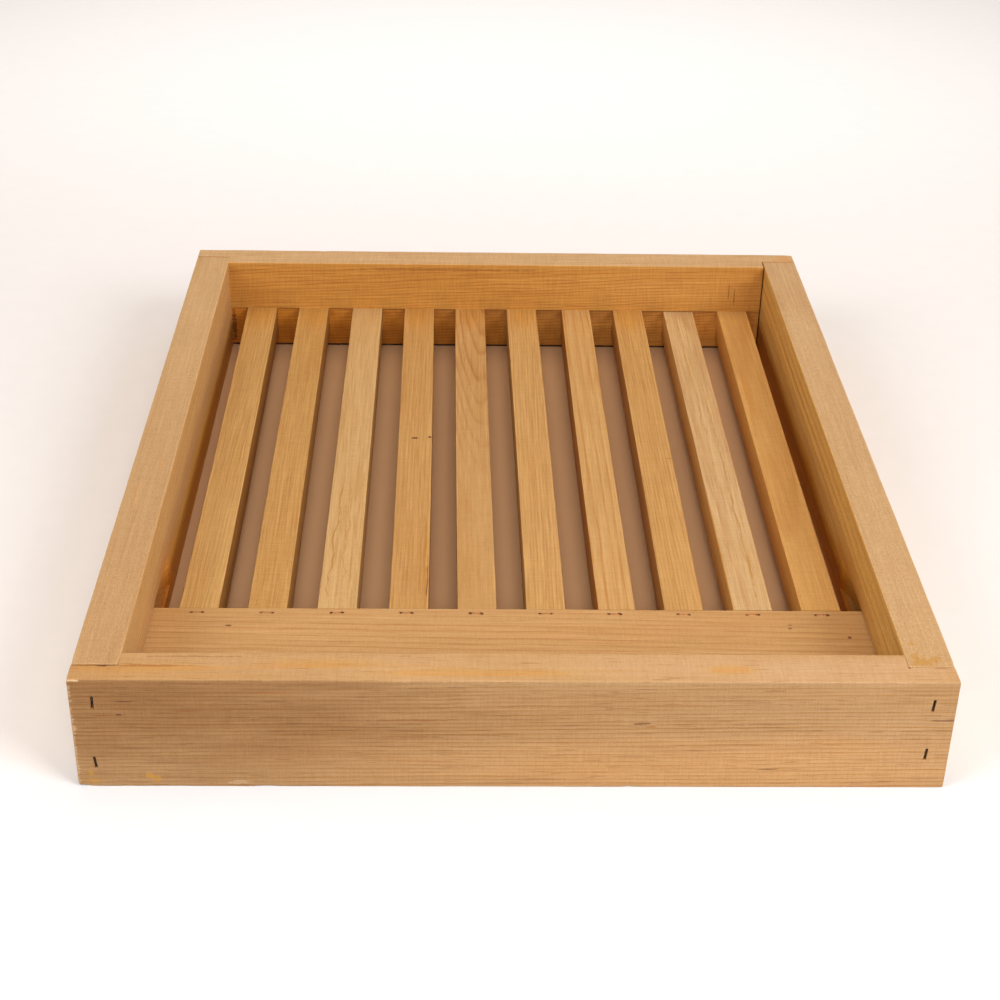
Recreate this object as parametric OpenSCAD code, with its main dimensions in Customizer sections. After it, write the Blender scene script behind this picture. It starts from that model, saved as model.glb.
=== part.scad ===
// Slatted rack for a ten-frame bee hive, lying with its deep side up.
// Origin: centre of the footprint, on the surface that the rack rests on.
// +X runs to the right, +Y from front to back, +Z up.

/* [Outer frame] */
// Outside width, side to side
frame_w = 412.75; // [380:0.25:460]
// Outside length, front to back
frame_l = 504.8; // [460:0.2:560]
// Height of the four outer boards
frame_h = 62; // [55:1:90]
// Thickness of the four outer boards
board_t = 22; // [19:0.5:25]
// Depth that the side boards are let into the front and back boards
corner_seat = 9.5; // [6:0.5:12]

/* [Slats] */
// Number of slats
slat_count = 10; // [6:1:12]
// Width of one slat
slat_w = 20.4; // [16:0.2:24]
// Thickness of the slats and of the deck board
slat_t = 19; // [16:0.5:22]
// Gap between a side board and the slat beside it
end_gap = 11.8; // [8:0.1:16]
// How far the row of slats sits to the right of the middle
slat_shift = 0.6; // [-2:0.1:2]
// Clear height under the slats and the deck board
bee_space = 9.4; // [6:0.1:12]
// Depth that the slats are let into the back board
back_seat = 0.8; // [0.4:0.1:8]

/* [Deck board] */
// Width of the deck board, from the front board to its rear edge
deck_w = 87.5; // [60:0.5:120]
// Depth that the deck board is let into each side board
deck_seat = 9.5; // [5:0.5:12]
// Length of the half-lap between the deck board and each slat
lap_l = 9.5; // [8:0.5:20]
// Thickness of the slat's tongue in the half-lap
lap_t = 9.5; // [7:0.5:10]
// Radius of the cutter that makes the grooves for the deck board
cutter_r = 100; // [60:5:150]
// Length of groove left at full depth behind the deck board
groove_spare = 9; // [0:1:20]

/* [Staples] */
// Width of a staple over its crown
crown_w = 6.4; // [5:0.2:10]
// Thickness of the wire, along the crown's plane
wire_t = 1; // [0.8:0.1:1.4]
// Width of the wire, across the crown's plane
wire_w = 1.2; // [0.8:0.1:1.6]
// Length of the legs of the staples in the outer boards
frame_leg = 32; // [26:1:38]
// Length of the legs of the staples in the deck board
deck_leg = 16; // [12:1:17]
// Depth of a crown below the face of an outer board
frame_sink = 0.8; // [0:0.1:2]
// Depth of a crown below the top of the deck board
deck_sink = 0.3; // [0:0.1:1]
// Distance from the deck board's rear edge to its row of staples
edge_dist = 4; // [3:0.5:6]
// Height of the lower staple at the left corners
left_low = 14; // [8:0.5:25]
// Height of the upper staple at the left corners
left_high = 49; // [35:0.5:50]
// Height of the lower staple at the right corners
right_low = 20; // [8:0.5:25]
// Height of the upper staple at the right corners
right_high = 48.5; // [35:0.5:50]

/* [Hidden] */
$fn = 96;
// Overrun of every cut past the face that it opens
cut = 1;
inner_w = frame_w - 2 * board_t;
inner_l = frame_l - 2 * board_t;
side_l = inner_l + 2 * corner_seat;
slat_pitch = (inner_w - 2 * end_gap - slat_w) / (slat_count - 1);
deck_top = bee_space + slat_t;
deck_rear = deck_w - inner_l / 2;
slat_front = deck_rear - lap_l;
slat_rear = inner_l / 2 + back_seat;
slat_mid_z = bee_space + slat_t / 2;
corner_x = frame_w / 2 - board_t / 2;
SLATS = [for (i = [1 : slat_count]) str("slat_", i)];

// X of the middle of slat i, counted from the left
function slat_x(i) = slat_shift + (i - (slat_count + 1) / 2) * slat_pitch;

// Colour of slat i: neighbouring slats differ a little, as sawn from different boards
function slat_tone(i) = [0.84, 0.65, 0.40] * (0.94 + 0.06 * cos(i * 137));

// ---- Staples: crown along X with its top at z = 0, legs pointing down ----

// Outline of a staple with chisel points, its crown raised to z = top
module staple_outline(leg, top) {
    half = crown_w / 2;
    inside = half - wire_t;
    polygon([
        [-half, top], [half, top], [half, -leg], [inside, -leg + wire_t],
        [inside, -wire_t], [-inside, -wire_t], [-inside, -leg + wire_t], [-half, -leg]
    ]);
}

module staple(leg) {
    rotate([90, 0, 0])
        linear_extrude(wire_w, center = true)
            staple_outline(leg, 0);
}

// The kerf that a staple leaves, open to the face above its crown
module staple_kerf(leg, sink) {
    rotate([90, 0, 0])
        linear_extrude(wire_w, center = true)
            staple_outline(leg, sink + cut);
}

// Through the rear lip of the deck board into the slats
module at_deck_staples() {
    for (i = [1 : slat_count])
        translate([slat_x(i), deck_rear - edge_dist, deck_top - deck_sink])
            children();
}

// Through the front board into the ends of the side boards, crowns upright
module at_front_corners() {
    for (p = [[-corner_x, left_low], [-corner_x, left_high],
              [corner_x, right_low], [corner_x, right_high]])
        translate([p[0], frame_sink - frame_l / 2, p[1]])
            rotate([90, 0, 0])
                rotate([0, 0, 90])
                    children();
}

// The same pattern through the back board
module at_back_corners() {
    mirror([0, 1, 0])
        at_front_corners()
            children();
}

// Through the back board into the ends of the slats
module at_back_slats() {
    for (i = [1 : slat_count])
        translate([slat_x(i), frame_l / 2 - frame_sink, slat_mid_z])
            rotate([-90, 0, 0])
                children();
}

// ---- Outer boards ----

// Front board before its staples: full width, both ends rabbeted for the side boards
module end_board() {
    translate([0, -frame_l / 2, 0])
        difference() {
            translate([-frame_w / 2, 0, 0])
                cube([frame_w, board_t, frame_h]);
            for (side = [-1, 1])
                translate([side * (inner_w + board_t + cut) / 2, board_t - corner_seat / 2 + cut / 2,
                           frame_h / 2])
                    cube([board_t + cut, corner_seat + cut, frame_h + 2 * cut], center = true);
        }
}

module front_board() {
    color([0.80, 0.62, 0.44])
        difference() {
            end_board();
            at_front_corners() staple_kerf(frame_leg, frame_sink);
        }
}

// Its lower inner edge is rabbeted for the ends of the slats
module back_board() {
    color([0.78, 0.55, 0.32])
        difference() {
            mirror([0, 1, 0])
                end_board();
            translate([-inner_w / 2, inner_l / 2 - cut, -cut])
                cube([inner_w, back_seat + cut, deck_top + cut]);
            at_back_corners() staple_kerf(frame_leg, frame_sink);
            at_back_slats() staple_kerf(frame_leg, frame_sink);
        }
}

// Groove for the end of the deck board in the left board, with the cutter's run-out
module deck_groove() {
    full_l = side_l / 2 + deck_rear + groove_spare;
    translate([-inner_w / 2 - deck_seat, -side_l / 2 - cut, bee_space])
        cube([deck_seat + cut, full_l + cut, slat_t]);
    translate([cutter_r - inner_w / 2 - deck_seat, deck_rear + groove_spare, bee_space])
        cylinder(r = cutter_r, h = slat_t);
}

module left_blank() {
    difference() {
        translate([-frame_w / 2, -side_l / 2, 0])
            cube([board_t, side_l, frame_h]);
        deck_groove();
    }
}

module left_board() {
    color([0.83, 0.66, 0.46])
        difference() {
            left_blank();
            at_front_corners() staple_kerf(frame_leg, frame_sink);
            at_back_corners() staple_kerf(frame_leg, frame_sink);
        }
}

module right_board() {
    color([0.84, 0.67, 0.47])
        difference() {
            mirror([1, 0, 0])
                left_blank();
            at_front_corners() staple_kerf(frame_leg, frame_sink);
            at_back_corners() staple_kerf(frame_leg, frame_sink);
        }
}

// ---- Deck board and slats ----

// The underside of its rear edge is rabbeted for the tongues of the slats
module deck_board() {
    deck_l = inner_w + 2 * deck_seat;
    color([0.80, 0.60, 0.36])
        difference() {
            translate([-deck_l / 2, -inner_l / 2, bee_space])
                cube([deck_l, deck_w, slat_t]);
            translate([-deck_l / 2 - cut, slat_front, bee_space - cut])
                cube([deck_l + 2 * cut, lap_l + cut, lap_t + cut]);
            at_deck_staples() staple_kerf(deck_leg, deck_sink);
        }
}

// Slat i: a tongue under the deck board in front, let into the back board behind
module slat(i) {
    color(slat_tone(i))
        difference() {
            translate([slat_x(i) - slat_w / 2, slat_front, bee_space])
                cube([slat_w, slat_rear - slat_front, slat_t]);
            translate([slat_x(i) - slat_w / 2 - cut, slat_front - cut, bee_space + lap_t])
                cube([slat_w + 2 * cut, lap_l + cut, slat_t - lap_t + cut]);
            at_deck_staples() staple_kerf(deck_leg, deck_sink);
            at_back_slats() staple_kerf(frame_leg, frame_sink);
        }
}

// ---- Fasteners ----

module deck_staples() {
    color([0.55, 0.52, 0.48])
        at_deck_staples() staple(deck_leg);
}

module front_corner_staples() {
    color([0.55, 0.52, 0.48])
        at_front_corners() staple(frame_leg);
}

module back_corner_staples() {
    color([0.55, 0.52, 0.48])
        at_back_corners() staple(frame_leg);
}

module back_slat_staples() {
    color([0.55, 0.52, 0.48])
        at_back_slats() staple(frame_leg);
}

front_board();
back_board();
left_board();
right_board();
deck_board();
for (i = [1 : slat_count])
    slat(i);
deck_staples();
front_corner_staples();
back_corner_staples();
back_slat_staples();
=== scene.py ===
import math

import bmesh
import bpy
from mathutils import Matrix, Vector, noise


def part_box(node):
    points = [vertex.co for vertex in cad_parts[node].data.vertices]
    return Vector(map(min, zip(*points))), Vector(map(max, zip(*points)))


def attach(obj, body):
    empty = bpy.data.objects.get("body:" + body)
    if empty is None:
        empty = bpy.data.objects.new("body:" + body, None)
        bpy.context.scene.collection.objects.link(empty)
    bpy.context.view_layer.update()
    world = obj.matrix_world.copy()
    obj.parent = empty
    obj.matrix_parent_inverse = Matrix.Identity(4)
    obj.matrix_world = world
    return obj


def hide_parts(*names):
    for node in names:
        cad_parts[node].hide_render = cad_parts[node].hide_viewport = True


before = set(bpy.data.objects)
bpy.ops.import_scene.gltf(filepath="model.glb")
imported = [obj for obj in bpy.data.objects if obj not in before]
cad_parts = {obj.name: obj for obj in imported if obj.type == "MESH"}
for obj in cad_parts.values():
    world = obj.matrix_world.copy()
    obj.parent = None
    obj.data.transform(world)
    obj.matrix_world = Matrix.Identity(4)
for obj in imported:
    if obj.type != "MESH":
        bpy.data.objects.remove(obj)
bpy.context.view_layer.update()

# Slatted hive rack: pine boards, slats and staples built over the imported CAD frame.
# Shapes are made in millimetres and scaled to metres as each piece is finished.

MM = 0.001
SCENE = bpy.context.scene
ALONG_X, ALONG_Y = 0, 1

# ---- Boards and joints, from the CAD boxes ----

SLATS = sorted((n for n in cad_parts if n.startswith("slat_")), key=lambda n: int(n[5:]))


def box_mm(node):
    """Lowest and highest corner of a CAD node, in millimetres."""
    lo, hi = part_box(node)
    return lo / MM, hi / MM


FRONT, BACK = box_mm("front_board"), box_mm("back_board")
LEFT, RIGHT = box_mm("left_board"), box_mm("right_board")
DECK, FIRST_SLAT = box_mm("deck_board"), box_mm(SLATS[0])

INNER_X = RIGHT[0].x                 # inside faces of the side boards
INNER_FRONT, INNER_BACK = FRONT[1].y, BACK[0].y
TOP = FRONT[1].z
SHELF_LOW, SHELF_TOP = DECK[0].z, DECK[1].z
SLAT_END = FIRST_SLAT[1].y
SEAT_SLACK = 1.0                     # how far a cutter runs past the face it opens
JOINT_GAP = 0.4                      # dark line left where two boards meet
LAP = (SHELF_TOP - SHELF_LOW) / 2    # half-lap of the deck board and the slats
CUTTER_R = 100.0                     # radius of the groove's run-out
GROOVE_SPARE = 9.0                   # full-depth groove behind the deck board


def islands(node):
    """The boxes of a CAD node's separate solids, in millimetres, in order of X, then Z."""
    mesh = bmesh.new()
    mesh.from_mesh(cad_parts[node].data)
    bmesh.ops.remove_doubles(mesh, verts=mesh.verts, dist=0.01 * MM)
    left, found = set(mesh.verts), []
    while left:
        grown, edge = set(), [left.pop()]
        while edge:
            v = edge.pop()
            grown.add(v)
            for e in v.link_edges:
                other = e.other_vert(v)
                if other in left:
                    left.discard(other)
                    edge.append(other)
        co = [v.co / MM for v in grown]
        lo = Vector([min(c[k] for c in co) for k in range(3)])
        hi = Vector([max(c[k] for c in co) for k in range(3)])
        found.append((lo, hi))
    mesh.free()
    return sorted(found, key=lambda b: (round(b[0].x), round(b[0].z)))


# ---- Sawn bars ----

ARC = 4                 # steps round an eased edge
RIPPLE = 0.07           # depth of the unevenness that planing leaves on a face
RING_STEP = 4.0         # usual distance between the rings of points along a bar
LEAST_STEP = 0.12       # rings that would lie closer together than this are left out
STRIP = 5.0             # usual width of the strips across a face
LEAST_EASE = 0.15       # smallest radius of an edge


def ring_points(lo, hi, ease, counts):
    """Points round a rectangle with four eased corners, each with its outward direction."""
    (u0, v0), (u1, v1) = lo, hi
    corners = [(u0, v0, 180), (u1, v0, 270), (u1, v1, 0), (u0, v1, 90)]
    points = []
    for k, (u, v, start) in enumerate(corners):
        r = ease[k]
        cu, cv = u + (r if u == u0 else -r), v + (r if v == v0 else -r)
        for i in range(ARC + 1):
            a = math.radians(start + 90 * i / ARC)
            points.append((cu + r * math.cos(a), cv + r * math.sin(a), math.cos(a), math.sin(a)))
        nu, nv, after = corners[(k + 1) % 4]
        rn = ease[(k + 1) % 4]
        a = math.radians(after)
        end = (nu + (rn if nu == u0 else -rn) + rn * math.cos(a),
               nv + (rn if nv == v0 else -rn) + rn * math.sin(a))
        a = math.radians(start + 90)
        for i in range(1, counts[k % 2]):
            t = i / counts[k % 2]
            pu, pv = (p * (1 - t) + q * t for p, q in zip(points[-i], end))
            points.append((pu, pv, math.cos(a), math.sin(a)))
    return points


def bar(lo, hi, axis, ease, seed, chips=(), bend=None, ends=0.5):
    """A closed bar with eased, chipped edges, its grain along axis.

    ease is one radius or four, for the corners in the order low-low, high-low, high-high and
    low-high of the two cross directions. A chip is (corner, place along, half length, depth),
    bend gives the shift across and up at 0 to 1 of the length, and ends is the ends' chamfer.
    """
    cross = 1 - axis
    radii = [ease] * 4 if isinstance(ease, (int, float)) else list(ease)
    s0, s1 = lo[axis], hi[axis]
    places = {s0, s1, s0 + 0.3 * ends, s1 - 0.3 * ends, s0 + ends, s1 - ends}
    count = max(2, round((s1 - s0) / RING_STEP))
    places |= {s0 + (s1 - s0) * i / count for i in range(1, count)}
    for _, at, half, _ in chips:
        places |= {min(s1 - ends, max(s0 + ends, at + half * k / 3)) for k in range(-6, 7)}
    stations = []
    for s in sorted(places):
        if not stations or s - stations[-1] > LEAST_STEP:
            stations.append(s)
    counts = [max(2, round((hi[k] - lo[k]) / STRIP)) for k in (cross, 2)]
    rings = []
    for s in stations:
        near = min(s - s0, s1 - s)
        shrink = ends * (1 - min(1, near / ends)) ** 2
        eased = []
        for k in range(4):
            r = radii[k] * (0.8 + 0.5 * noise.noise((s * 0.06, seed * 3.1, k * 7.7)))
            for corner, at, half, depth in chips:
                if corner == k:
                    rough = 0.75 + 0.5 * noise.noise((s * 1.7, seed, at))
                    r += depth * rough * math.exp(-((s - at) / half) ** 2)
            eased.append(max(LEAST_EASE, r))
        ring = []
        for u, v, du, dv in ring_points((lo[cross] + shrink, lo[2] + shrink),
                                        (hi[cross] - shrink, hi[2] - shrink), eased, counts):
            swell = RIPPLE * noise.noise((s / 38 + seed, u / 15, v / 15))
            u, v = u + du * swell, v + dv * swell
            if bend:
                shift = bend((s - s0) / (s1 - s0))
                u, v = u + shift[0], v + shift[1]
            place = [0, 0, v]
            place[axis], place[cross] = s, u
            ring.append(place)
        rings.append(ring)
    mesh = bmesh.new()
    add_solid(mesh, tube(rings))
    return mesh


# ---- Cutters ----

def add_block(mesh, lo, hi):
    """A box for cutting with."""
    made = bmesh.ops.create_cube(mesh, size=1)["verts"]
    centre = (Vector(lo) + Vector(hi)) / 2
    size = Vector(hi) - Vector(lo)
    for v in made:
        v.co = centre + Vector(c * s for c, s in zip(v.co, size))


def add_solid(mesh, part):
    """Adds a closed solid to a mesh, turned so that its faces look outward."""
    bmesh.ops.recalc_face_normals(part, faces=part.faces)
    if part.calc_volume(signed=True) < 0:
        bmesh.ops.reverse_faces(part, faces=part.faces)
    carrier = bpy.data.meshes.new("carrier")
    part.to_mesh(carrier)
    part.free()
    mesh.from_mesh(carrier)
    bpy.data.meshes.remove(carrier)


def tube(rings):
    """A closed solid through rings of points, flat at both ends."""
    part = bmesh.new()
    made = [[part.verts.new(p) for p in ring] for ring in rings]
    for a, b in zip(made, made[1:]):
        for i in range(len(a)):
            j = (i + 1) % len(a)
            part.faces.new((a[i], a[j], b[j], b[i]))
    part.faces.new(made[0])
    part.faces.new(made[-1])
    return part


def add_prism(mesh, outline, through):
    """A prism on a flat outline, for cutting with."""
    add_solid(mesh, tube([outline, [p + through for p in outline]]))


def as_object(name, mesh):
    """Turns a mesh in millimetres into an object in metres."""
    data = bpy.data.meshes.new(name)
    mesh.to_mesh(data)
    mesh.free()
    data.transform(Matrix.Scale(MM, 4))
    made = bpy.data.objects.new(name, data)
    SCENE.collection.objects.link(made)
    return made


def carve(piece, *cutters):
    """Cuts each cutter out of a piece, one after another."""
    for cutter in cutters:
        tool = as_object("cutter", cutter)
        cut = piece.modifiers.new("cut", "BOOLEAN")
        cut.operation, cut.solver, cut.object = "DIFFERENCE", "EXACT", tool
        done = bpy.data.meshes.new_from_object(
            piece.evaluated_get(bpy.context.evaluated_depsgraph_get()))
        piece.modifiers.clear()
        piece.data = done
        bpy.data.objects.remove(tool)


SHARP_EDGE = math.radians(40)


def finish_piece(piece, node, material):
    """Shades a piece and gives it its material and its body."""
    data = piece.data
    data.materials.clear()
    data.materials.append(material)
    data.polygons.foreach_set("use_smooth", [True] * len(data.polygons))
    data.polygons.foreach_set("material_index", [0] * len(data.polygons))
    data.set_sharp_from_angle(angle=SHARP_EDGE)
    weigh = piece.modifiers.new("flat_faces", "WEIGHTED_NORMAL")
    weigh.keep_sharp = True
    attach(piece, "root")
    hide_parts(node)


# ---- Staples ----

WIRE_T, WIRE_W = 1.0, 1.2     # wire thickness down the leg and width across it
WIRE_GAP = 0.12               # clearance of the kerf round the wire
BEND_R = 0.9                  # bend of the wire at the ends of its crown
LEG_IN = 0.4                  # from the end of the crown to the middle of its leg's pit


class Staple:
    """One staple: its crown's middle, crown and leg directions, half width and leg.

    lean turns it about its legs, in degrees, and stray moves it to the right.
    """

    def __init__(self, box, crown, leg, lean=0.0, stray=0.0):
        lo, hi = box
        self.leg_dir = Vector(leg)
        self.crown_dir = Matrix.Rotation(math.radians(lean), 3, self.leg_dir) @ Vector(crown)
        self.side_dir = self.crown_dir.cross(self.leg_dir)
        size = hi - lo
        self.half = abs(size.dot(Vector(crown))) / 2
        self.leg = abs(size.dot(self.leg_dir))
        self.at = (lo + hi) / 2 - self.leg_dir * self.leg / 2 + Vector((stray, 0, 0))

    def spot(self, along, down, aside=0.0):
        return self.at + self.crown_dir * along + self.leg_dir * down + self.side_dir * aside

    def wire(self, mesh):
        """The bent wire, its legs cut to a chisel point."""
        half, low = self.half - WIRE_T / 2, WIRE_T / 2
        path = [(-half, down, 1.0) for down in (self.leg - 1.2, self.leg * 0.5, low + BEND_R)]
        for i in range(1, 6):
            a = math.radians(90 * i / 6)
            path.append((-half + BEND_R * (1 - math.cos(a)), low + BEND_R * (1 - math.sin(a)), 1.0))
        path += [(-half + BEND_R, low, 1.0), (-half / 3, low + 0.05, 1.0)]
        path = [(-half + 0.15, self.leg - 0.05, 0.25)] + path
        path += [(-c, d, s) for c, d, s in reversed(path)]
        rings = []
        for i, (c, d, size) in enumerate(path):
            before, after = path[max(0, i - 1)], path[min(len(path) - 1, i + 1)]
            way = Vector((after[0] - before[0], after[1] - before[1])).normalized()
            ring = []
            for k in range(12):
                a = math.radians(30 * k)
                flat = math.copysign(abs(math.cos(a)) ** 0.6, math.cos(a)) * WIRE_T / 2 * size
                wide = math.copysign(abs(math.sin(a)) ** 0.6, math.sin(a)) * WIRE_W / 2
                ring.append(self.spot(c + way.y * flat, d - way.x * flat, wide))
            rings.append(ring)
        add_solid(mesh, tube(rings))

    def kerf(self, mesh, open_by):
        """The cut the staple leaves, open to the face above it."""
        out, inside = self.half + WIRE_GAP, self.half - WIRE_T - WIRE_GAP
        low, foot = WIRE_T + WIRE_GAP, self.leg + WIRE_GAP
        outline = [(-out, -open_by), (out, -open_by), (out, foot), (inside, foot - WIRE_T),
                   (inside, low), (-inside, low), (-inside, foot - WIRE_T), (-out, foot)]
        half = WIRE_W / 2 + WIRE_GAP
        add_prism(mesh, [self.spot(c, d, -half) for c, d in outline], self.side_dir * 2 * half)

    def pits(self, mesh, radius, depth, seed, sunk):
        """Torn pits where the two legs went in; sunk is how far the crown lies under the face."""
        for side in (-1, 1):
            rings = []
            for down, wide in ((-0.6 - sunk, 1.25), (0.3 - sunk, 0.95), (depth - sunk, 0.45)):
                ring = []
                for k in range(9):
                    a = math.radians(40 * k)
                    r = radius * wide * (1 + 0.35 * noise.noise((k * 1.3, seed + side * 5, down)))
                    along = side * (self.half - LEG_IN) + 1.15 * r * math.cos(a)
                    ring.append(self.spot(along, down, r * math.sin(a)))
                rings.append(ring)
            add_solid(mesh, tube(rings))


X_WAY, Y_WAY, Z_WAY = (1, 0, 0), (0, 1, 0), (0, 0, 1)
# Left low, left high, right low and right high: the lean in degrees and the stray to the right
FRONT_LIES = ((-6, -1.9), (2, -0.3), (4, 0.0), (4, 0.0))
DECK_STAPLES = [Staple(b, X_WAY, (0, 0, -1), lean=2.5 * math.sin(i * 2.1))
                for i, b in enumerate(islands("deck_staples"))]
FRONT_STAPLES = [Staple(b, Z_WAY, Y_WAY, *lie)
                 for b, lie in zip(islands("front_corner_staples"), FRONT_LIES)]
BACK_STAPLES = [Staple(b, Z_WAY, (0, -1, 0), lean=a)
                for b, a in zip(islands("back_corner_staples"), (4, -6, 2, 7))]
SLAT_STAPLES = [Staple(b, X_WAY, (0, -1, 0), lean=3 * math.cos(i * 1.7))
                for i, b in enumerate(islands("back_slat_staples"))]
FRAME_OPEN, DECK_OPEN = 3.0, 2.0     # how far a kerf's cutter stands over the face
FRAME_SINK, DECK_SINK = FRONT_STAPLES[0].at.y - FRONT[0].y, 0.3


def kerfs(*groups):
    mesh = bmesh.new()
    for staples, open_by in groups:
        for s in staples:
            s.kerf(mesh, open_by)
    return mesh


# ---- Wood ----

def srgb(r, g, b):
    """A colour given as 0 to 255 screen values, as linear RGBA."""
    def lin(c):
        c /= 255
        return c / 12.92 if c <= 0.04045 else ((c + 0.055) / 1.055) ** 2.4
    return (lin(r), lin(g), lin(b), 1.0)


def put(tree, kind, out=0, props=None, **sockets):
    """Adds a node, sets or links its named sockets, and returns one output."""
    made = tree.nodes.new("ShaderNode" + kind)
    for key, value in (props or {}).items():
        setattr(made, key, value)
    for key, value in sockets.items():
        socket = made.inputs[int(key[1:]) if key[1:].isdigit() else key]
        if isinstance(value, bpy.types.NodeSocket):
            tree.links.new(value, socket)
        else:
            socket.default_value = value
    return made.outputs[out]


def calc(tree, how, a, b=0.0, c=0.0):
    return put(tree, "Math", props={"operation": how}, _0=a, _1=b, _2=c)


def vec(tree, how, a, b=(0, 0, 0), out=0):
    return put(tree, "VectorMath", out, {"operation": how}, _0=a, _1=b)


def scaled(tree, vector, by):
    return put(tree, "VectorMath", props={"operation": "SCALE"}, _0=vector, Scale=by)


def cloud(tree, place, along, across, detail=2.0, out=0, shift=(0, 0, 0)):
    """Noise drawn out along the grain: its size along and across, in millimetres."""
    spread = put(tree, "VectorMath", props={"operation": "MULTIPLY_ADD"}, _0=place,
                 _1=(1 / along, 1 / across, 1 / across), _2=shift)
    return put(tree, "TexNoise", out, Vector=spread, Scale=1.0, Detail=detail, Roughness=0.55)


def put_apart(tree, vector):
    """The three parts of a vector."""
    return put(tree, "SeparateXYZ", Vector=vector).node.outputs


def ease_in(tree, value, low, high, to_low=0.0, to_high=1.0):
    return put(tree, "MapRange", props={"interpolation_type": "SMOOTHSTEP"},
               _0=value, _1=low, _2=high, _3=to_low, _4=to_high)


def blend_colour(tree, how, factor, a, b):
    return put(tree, "Mix", 2, {"data_type": "RGBA", "blend_type": how}, _0=factor, _6=a, _7=b)


def ramp(tree, factor, stops):
    """Grey levels at places along a band."""
    made = tree.nodes.new("ShaderNodeValToRGB")
    band = made.color_ramp
    band.elements[0].position, band.elements[1].position = stops[0][0], stops[-1][0]
    for where, _ in stops[1:-1]:
        band.elements.new(where)
    for element, (_, value) in zip(band.elements, stops):
        element.color = (value, value, value, 1)
    tree.links.new(factor, made.inputs[0])
    return made.outputs[0]


def new_material(name):
    """A material with an empty node tree, and its texture coordinates."""
    material = bpy.data.materials.new(name)
    material.use_nodes = True
    tree = material.node_tree
    tree.nodes.clear()
    return material, tree, tree.nodes.new("ShaderNodeTexCoord").outputs


def principled(tree, colour, rough, relief, specular=0.5, metallic=0.0):
    return put(tree, "BsdfPrincipled", Roughness=rough, Metallic=metallic, Normal=relief,
               **{"Base Color": colour, "Specular IOR Level": specular})


def show(tree, shader):
    tree.links.new(shader, tree.nodes.new("ShaderNodeOutputMaterial").inputs["Surface"])


def new_group(name, inputs, outputs):
    tree = bpy.data.node_groups.new(name, "ShaderNodeTree")
    for label, kind in inputs:
        tree.interface.new_socket(label, in_out="INPUT", socket_type="NodeSocket" + kind)
    for label, kind in outputs:
        tree.interface.new_socket(label, in_out="OUTPUT", socket_type="NodeSocket" + kind)
    return tree, tree.nodes.new("NodeGroupInput").outputs, tree.nodes.new("NodeGroupOutput").inputs


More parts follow.
